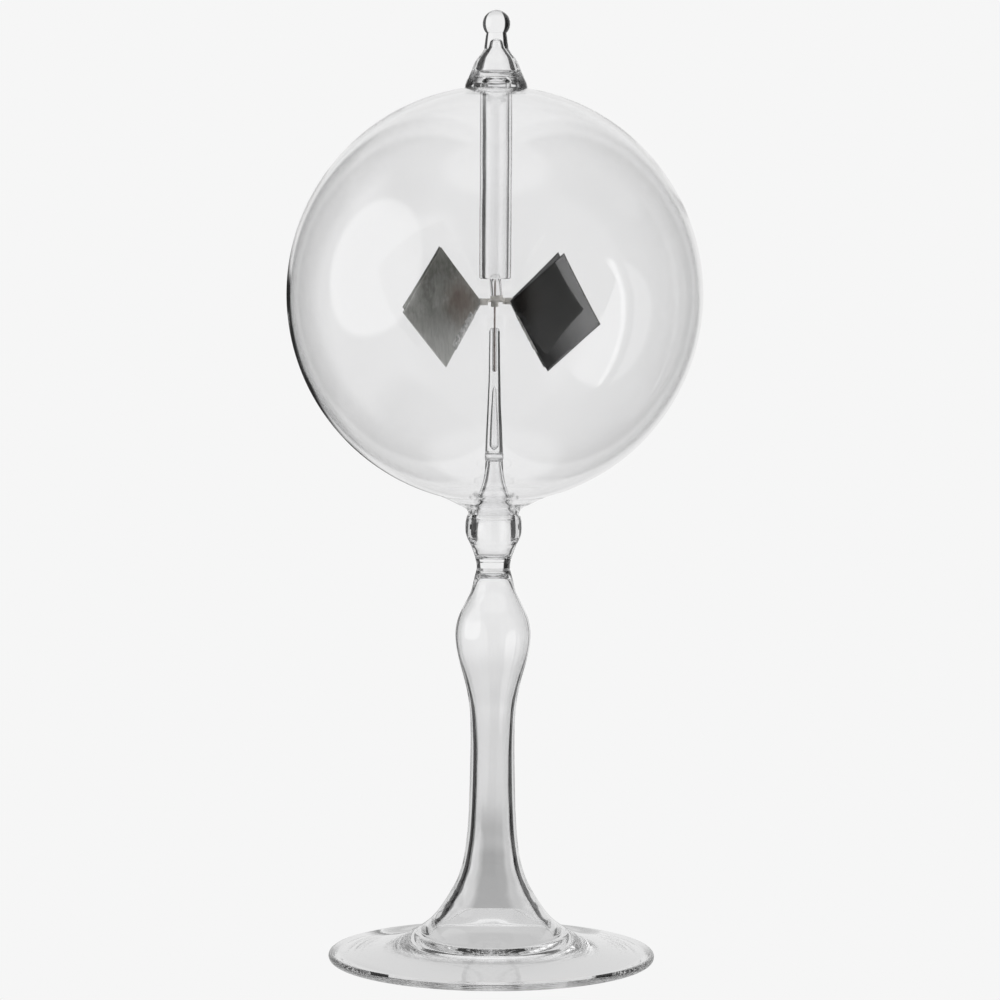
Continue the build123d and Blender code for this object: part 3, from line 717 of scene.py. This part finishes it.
def ferrule_mesh():
    """Leaning sleeve round the thimble's mouth, its lower edge trimmed to the plate."""
    segs = 72
    lo, hi = PLATE_LOW_Z + PLATE_T, 161.05
    ri, ro = CAP_R + 0.005, CAP_R + 0.16
    c = math.radians(CAP_LEAN)
    verts, faces = [], []
    prof = [(ri, 0), (ri + 0.04, -1), (ro - 0.04, -1), (ro, 0), (ro, 1), (ro - 0.04, 2), (ri + 0.04, 2), (ri, 1)]
    for j in range(segs):
        t = 2 * math.pi * j / segs
        for r, k in prof:
            x, y = r * math.cos(t), r * math.sin(t)
            # height along the sleeve where its wall meets the plate
            zlow = TIP_Z + (lo - TIP_Z - x * math.sin(c)) / math.cos(c)
            z = {0: zlow + 0.03, -1: zlow + 0.002, 1: hi - 0.03, 2: hi}[k]
            verts.append((x, y, z))
    n = len(prof)
    for j in range(segs):
        for k in range(n):
            a0, a1 = j * n + k, j * n + (k + 1) % n
            b0, b1 = ((j + 1) % segs) * n + k, ((j + 1) % segs) * n + (k + 1) % n
            faces.append((a0, b0, b1, a1))
    return solid("hub_ferrule_sleeve", verts, faces, matrix=LEAN, sharp=38)


dress(ferrule_mesh(), "hub_ferrule", "rotor", "sheet_metal", HUB)

PATCHES = [(0.30, 0.05, 0.26), (0.35, 0.1, 0.2), (0.4, -0.05, 0.22), (0.27, 0.03, 0.30)]
for i in range(4):
    n = i + 1
    bright = bright_sheet(f"vane_bright_{n}", n * 1.37, PATCHES[i])
    dress(sheet(i, f"vane_{n}_sheet", 0.0, VANE_T, None, None), f"vane_{n}", "rotor", "vane_bright", bright)
    dress(sheet(i, f"vane_blacking_{n}_coat", -BLACK_T, -0.002, None, None), f"vane_blacking_{n}",
          "rotor", "vane_black", BLACK)
    t = VANE_T
    span = CLIP_END - CLIP_START
    c1, c2 = CLIP_START + span / 3, CLIP_START + span * 2 / 3
    rects = [(CLIP_START, c1 - 0.16, -0.12, CLIP_W, t + 0.004, t + CLIP_T),
             (c1 - 0.16, c1 + 0.16, -0.12, CLIP_W - 0.45, t + 0.004, t + CLIP_T),
             (c1 + 0.16, c2 - 0.16, -0.12, CLIP_W, t + 0.004, t + CLIP_T),
             (c2 - 0.16, c2 + 0.16, -0.12, CLIP_W - 0.45, t + 0.004, t + CLIP_T),
             (c2 + 0.16, CLIP_END, -0.12, CLIP_W, t + 0.004, t + CLIP_T),
             (CLIP_START, CLIP_END, -0.125, -0.015, -BLACK_T - CLIP_T, t + CLIP_T),
             (CLIP_START, CLIP_END, -0.12, 0.22, -BLACK_T - CLIP_T, -BLACK_T - 0.004),
             (0.05, CLIP_START + 0.2, 0.05, 0.62, t + 0.004, t + CLIP_T)]
    dress(band(i, f"vane_clip_{n}_strip", rects), f"vane_clip_{n}", "rotor", "sheet_metal", SHEET)

# ----------------------------------------------------------------- floor, light
BG = 0.9216        # even studio white of the backdrop, linear


def direction(g, x, y, centre):
    """Angle in radians between the horizontal direction (x, y) and a compass centre."""
    c = math.radians(centre)
    xr = g.math("ADD", g.math("MULTIPLY", x, math.cos(c)), g.math("MULTIPLY", y, math.sin(c)))
    yr = g.math("SUBTRACT", g.math("MULTIPLY", y, math.cos(c)), g.math("MULTIPLY", x, math.sin(c)))
    return g.math("ABSOLUTE", g.math("ARCTAN2", yr, xr))


def sector(g, x, y, centre, half, soft):
    return g.smooth(direction(g, x, y, centre), math.radians(half + soft), math.radians(half - soft))


def softbox(g, x, y, el, centre, half, el0, el_half, p, soft):
    """Rounded soft light in compass angle and elevation."""
    a = g.math("POWER", g.math("DIVIDE", direction(g, x, y, centre), math.radians(half)), p)
    b = g.math("DIVIDE", g.math("ABSOLUTE", g.math("SUBTRACT", el, math.radians(el0))), math.radians(el_half))
    q = g.math("ADD", a, g.math("POWER", b, p))
    return g.smooth(q, 1 + soft, 1 - soft)


def studio(g, x, y, el, passed, far):
    """The room by what the ray has met: the outer skin's mirror image, mirror images
    from inside the glass, the straight view through it, and the dark side walls."""
    deg = math.radians
    flat = g.smooth(g.math("ABSOLUTE", el), deg(33), deg(26))
    high = g.smooth(el, deg(46), deg(70))
    back = g.math("MULTIPLY", sector(g, x, y, 90, 24, 4), g.smooth(g.math("ABSOLUTE", el), deg(36), deg(26)))
    behind = g.smooth(y, -0.12, 0.20)
    left_wall = g.math("MULTIPLY", sector(g, x, y, 140, 28, 4), flat)
    right_wall = g.math("MULTIPLY", sector(g, x, y, 40, 28, 4), flat)
    left_box = softbox(g, x, y, el, 197, 31, 13, 30, 2.3, 0.14)
    # the left light's frame cuts its lower corner off on the slant
    slant = g.math("ADD", g.math("DIVIDE", g.math("SUBTRACT", direction(g, x, y, 160), deg(8)), deg(22)),
                   g.math("DIVIDE", g.math("ADD", el, deg(8)), deg(33)))
    left_box = g.math("MULTIPLY", left_box, g.smooth(slant, -0.15, 0.15))
    right_box = softbox(g, x, y, el, 318, 30, 2, 50, 2.0, 0.3)
    notch = g.math("MULTIPLY", sector(g, x, y, 295, 15, 4), g.math("MULTIPLY", g.smooth(el, deg(-44), deg(-36)),
                                                               g.smooth(el, deg(20), deg(12))))
    deep = g.math("GREATER_THAN", passed, 3.5)
    # outer skin
    outer = g.mix(behind, 0.10, 0.70, "FLOAT")
    outer = g.mix(notch, outer, 0.02, "FLOAT")
    outer = g.mix(high, outer, 0.66, "FLOAT")
    outer = g.mix(left_wall, outer, 0.28, "FLOAT")
    outer = g.mix(g.math("MULTIPLY", sector(g, x, y, 7, 20, 4), flat), outer, 0.12, "FLOAT")
    outer = g.mix(g.math("MULTIPLY", sector(g, x, y, 46, 20, 4), flat), outer, 0.66, "FLOAT")
    outer = g.mix(back, outer, BG, "FLOAT")
    outer = g.mix(g.math("MULTIPLY", g.math("MULTIPLY", sector(g, x, y, 104, 13, 3), far), flat), outer, 0.03, "FLOAT")
    outer = g.mix(left_box, outer, 1.15, "FLOAT")
    outer = g.mix(right_box, outer, 0.31, "FLOAT")
    # inside the glass, and on the rotor
    vane_light = g.math("MULTIPLY", g.math("MULTIPLY", sector(g, x, y, 3, 34, 8), deep),
                        g.smooth(g.math("ABSOLUTE", el), deg(48), deg(34)))
    inner = g.mix(right_wall, 0.012, 0.07, "FLOAT")
    inner = g.mix(high, inner, 0.30, "FLOAT")
    # bright backdrop, shaded off early on the left where the ray lands far off
    lobe = g.mix(g.math("MULTIPLY", far, g.smooth(direction(g, x, y, 64), deg(27), deg(33))), 0.72, 0.02, "FLOAT")
    lobe = g.mix(deep, lobe, BG, "FLOAT")
    inner = g.mix(sector(g, x, y, 89, 25, 3), inner, lobe, "FLOAT")
    # the left light as the blackened vane mirrors it: its slanting edge, then a slow rise
    c = math.radians(187.85)
    q = g.math("ARCTAN2", g.math("SUBTRACT", g.math("MULTIPLY", y, math.cos(c)), g.math("MULTIPLY", x, math.sin(c))),
               g.math("ADD", g.math("MULTIPLY", x, math.cos(c)), g.math("MULTIPLY", y, math.sin(c))))
    q = g.math("ADD", q, g.math("MULTIPLY", el, 0.16))
    rise = g.math("ADD", g.smooth(q, deg(-0.15), deg(0.15), 0.0, 0.6), g.smooth(q, 0.0, deg(2.4), 0.0, 1.9))
    rise = g.math("ADD", rise, g.smooth(q, deg(3), deg(6), 0.0, -1.2))
    rise = g.math("ADD", rise, g.smooth(q, deg(-4.5), deg(-6.5), 0.0, 0.8))
    inner = g.mix(left_box, inner, g.mix(deep, 1.15, rise, "FLOAT"), "FLOAT")
    inner = g.mix(right_box, inner, g.mix(deep, 0.42, 0.85, "FLOAT"), "FLOAT")
    inner = g.mix(vane_light, inner, 0.75, "FLOAT")
    # the pale front of the room, high up
    above = g.math("MULTIPLY", sector(g, x, y, 270, 55, 10), g.smooth(el, deg(14), deg(30)))
    inner = g.mix(above, inner, 0.50, "FLOAT")
    # straight through: the side walls are dark
    left = sector(g, x, y, 141, 25, 2.5)
    right = g.math("MULTIPLY", sector(g, x, y, 32, 20, 2.5), 0.97)
    gap = g.math("MAXIMUM", left, right)
    through = g.mix(gap, BG, 0.010, "FLOAT")
    return outer, inner, through, gap


def ray_kind(g, edge):
    lp = g.add("ShaderNodeLightPath")
    passed = lp.outputs["Transmission Depth"]
    bounced = g.math("SUBTRACT", lp.outputs["Ray Depth"], passed)
    return lp.outputs["Is Camera Ray"], g.math("GREATER_THAN", bounced, edge), passed


def grey(g, sock, level):
    comb = g.add("ShaderNodeCombineColor")
    for s in comb.inputs[:3]:
        g.put(s, level)
    g.put(sock, comb.outputs[0])


def world():
    w = bpy.data.worlds.new("studio")
    scene.world = w
    w.use_nodes = True
    w.node_tree.nodes.clear()
    g = Nodes(w.node_tree)
    out = g.add("ShaderNodeOutputWorld")
    bg = g.add("ShaderNodeBackground")
    g.l.new(bg.outputs[0], out.inputs[0])
    tc = g.add("ShaderNodeTexCoord").outputs["Generated"]
    sep = g.add("ShaderNodeSeparateXYZ")
    g.put(sep.inputs[0], tc)
    x, y, z = sep.outputs
    cam, bounced, passed = ray_kind(g, 1.5)      # the world counts a ray's last leg too
    el = g.math("ARCSINE", z)
    outer, inner, through, gap = studio(g, x, y, el, passed, g.smooth(el, math.radians(2.0), math.radians(-0.3)))
    mirror = g.mix(g.math("GREATER_THAN", passed, 0.5), outer, inner, "FLOAT")
    level = g.mix(bounced, through, mirror, "FLOAT")
    level = g.mix(cam, level, BG, "FLOAT")
    grey(g, bg.inputs["Color"], level)
    bg.inputs["Strength"].default_value = 1.0


world()


def floor():
    me = bpy.data.meshes.new("floor")
    n, rad = 96, 9.0
    vs = [(0, 0, -0.0001)] + [(rad * math.cos(2 * math.pi * k / n), rad * math.sin(2 * math.pi * k / n), -0.0001) for k in range(n)]
    me.from_pydata(vs, [], [(0, 1 + k, 1 + (k + 1) % n) for k in range(n)])
    ob = bpy.data.objects.new("floor", me)
    scene.collection.objects.link(ob)
    m = bpy.data.materials.new("floor_white")
    m.use_nodes = True
    m.node_tree.nodes.clear()
    g = Nodes(m.node_tree)
    out = g.add("ShaderNodeOutputMaterial")
    em = g.add("ShaderNodeEmission")
    g.l.new(em.outputs[0], out.inputs[0])
    pos = g.add("ShaderNodeNewGeometry").outputs["Position"]
    sep = g.add("ShaderNodeSeparateXYZ")
    g.put(sep.inputs[0], pos)
    x, y, z = sep.outputs
    r = g.math("MAXIMUM", g.math("SQRT", g.math("ADD", g.math("MULTIPLY", x, x), g.math("MULTIPLY", y, y))), 1e-4)
    el = g.math("MULTIPLY", g.math("ARCTAN2", 0.161, r), -1.0)
    cam, bounced, passed = ray_kind(g, 0.5)
    outer, inner, through, gap = studio(g, x, y, el, passed, g.smooth(r, 0.45, 0.75))
    # painted reflection in the floor's glow: at a grazing angle it shows the dark sides of the room, as a satin table
    # would
    lw = g.add("ShaderNodeLayerWeight")
    lw.inputs["Blend"].default_value = 0.5
    graze = g.smooth(lw.outputs["Facing"], 0.72, 0.80)
    steep = g.math("MULTIPLY", g.smooth(lw.outputs["Facing"], 0.26, 0.36), g.math("LESS_THAN", passed, 2.5))
    graze = g.math("MAXIMUM", graze, g.math("MULTIPLY", steep, g.smooth(r, 0.10, 0.13)))
    dark = g.math("MULTIPLY", g.math("MULTIPLY", gap, graze), g.smooth(r, 0.055, 0.085))
    # painted shadow of the stand on the floor: darkest in a narrow strip straight behind it, fading to the even white
    # by 0.75 m
    ahead = direction(g, x, y, 90)
    stand_shadow = g.mix(g.smooth(ahead, math.radians(6), math.radians(11)), 0.40, 0.60, "FLOAT")
    stand_shadow = g.mix(g.smooth(ahead, math.radians(13), math.radians(24)), stand_shadow, 0.84, "FLOAT")
    shaded_floor = g.mix(g.smooth(r, 0.12, 0.30), stand_shadow, 0.76, "FLOAT")
    shaded_floor = g.mix(g.smooth(r, 0.28, 0.75), shaded_floor, BG, "FLOAT")
    through = g.mix(dark, shaded_floor, 0.015, "FLOAT")
    # painted shade on the floor under the foot, seen through its glass
    through = g.mix(g.smooth(r, 0.0395, 0.0385), through, g.mix(g.smooth(r, 0.010, 0.017), 0.56, 0.62, "FLOAT"), "FLOAT")
    # contact shadow under the front of the rim
    contact = g.math("MULTIPLY", g.smooth(r, 0.0366, 0.0376), g.smooth(r, 0.0412, 0.0400))
    contact = g.math("MULTIPLY", contact, g.smooth(y, 0.012, -0.004))
    through = g.mix(contact, through, 0.03, "FLOAT")
    # painted shade: the floor within 85 mm of the foot is darker in mirror images
    inner = g.mix(g.smooth(r, 0.085, 0.055), inner, 0.66, "FLOAT")
    outer = g.mix(g.smooth(r, 0.085, 0.055), outer, 0.66, "FLOAT")
    mirror = g.mix(g.math("GREATER_THAN", passed, 0.5), outer, inner, "FLOAT")
    level = g.mix(bounced, through, mirror, "FLOAT")
    level = g.mix(cam, level, BG, "FLOAT")
    grey(g, em.inputs["Color"], level)
    me.materials.append(m)


floor()

# ------------------------------------------------------------------------ camera
cam_data = bpy.data.cameras.new("camera")
cam_data.sensor_width = 36.0
cam_data.sensor_fit = "HORIZONTAL"
cam_data.lens = 134.8
cam_data.clip_start = 0.01
cam_data.clip_end = 50
cam_ob = bpy.data.objects.new("camera", cam_data)
scene.collection.objects.link(cam_ob)
ROLL, PITCH = 0.33, 4.20
cam_ob.matrix_world = (Matrix.Translation((0.00149, -0.900, 0.178))
                       @ Matrix.Rotation(math.radians(90 - PITCH), 4, "X")
                       @ Matrix.Rotation(math.radians(ROLL), 4, "Z"))
scene.camera = cam_ob

scene.view_settings.view_transform = "Standard"
scene.view_settings.look = "None"
cy = scene.cycles
cy.max_bounces = 128
cy.transmission_bounces = 128
cy.glossy_bounces = 28
cy.diffuse_bounces = 3
cy.transparent_max_bounces = 16
cy.caustics_reflective = True
cy.caustics_refractive = True
cy.blur_glossy = 0.0
cy.sample_clamp_indirect = 8.0
cy.use_denoising = True
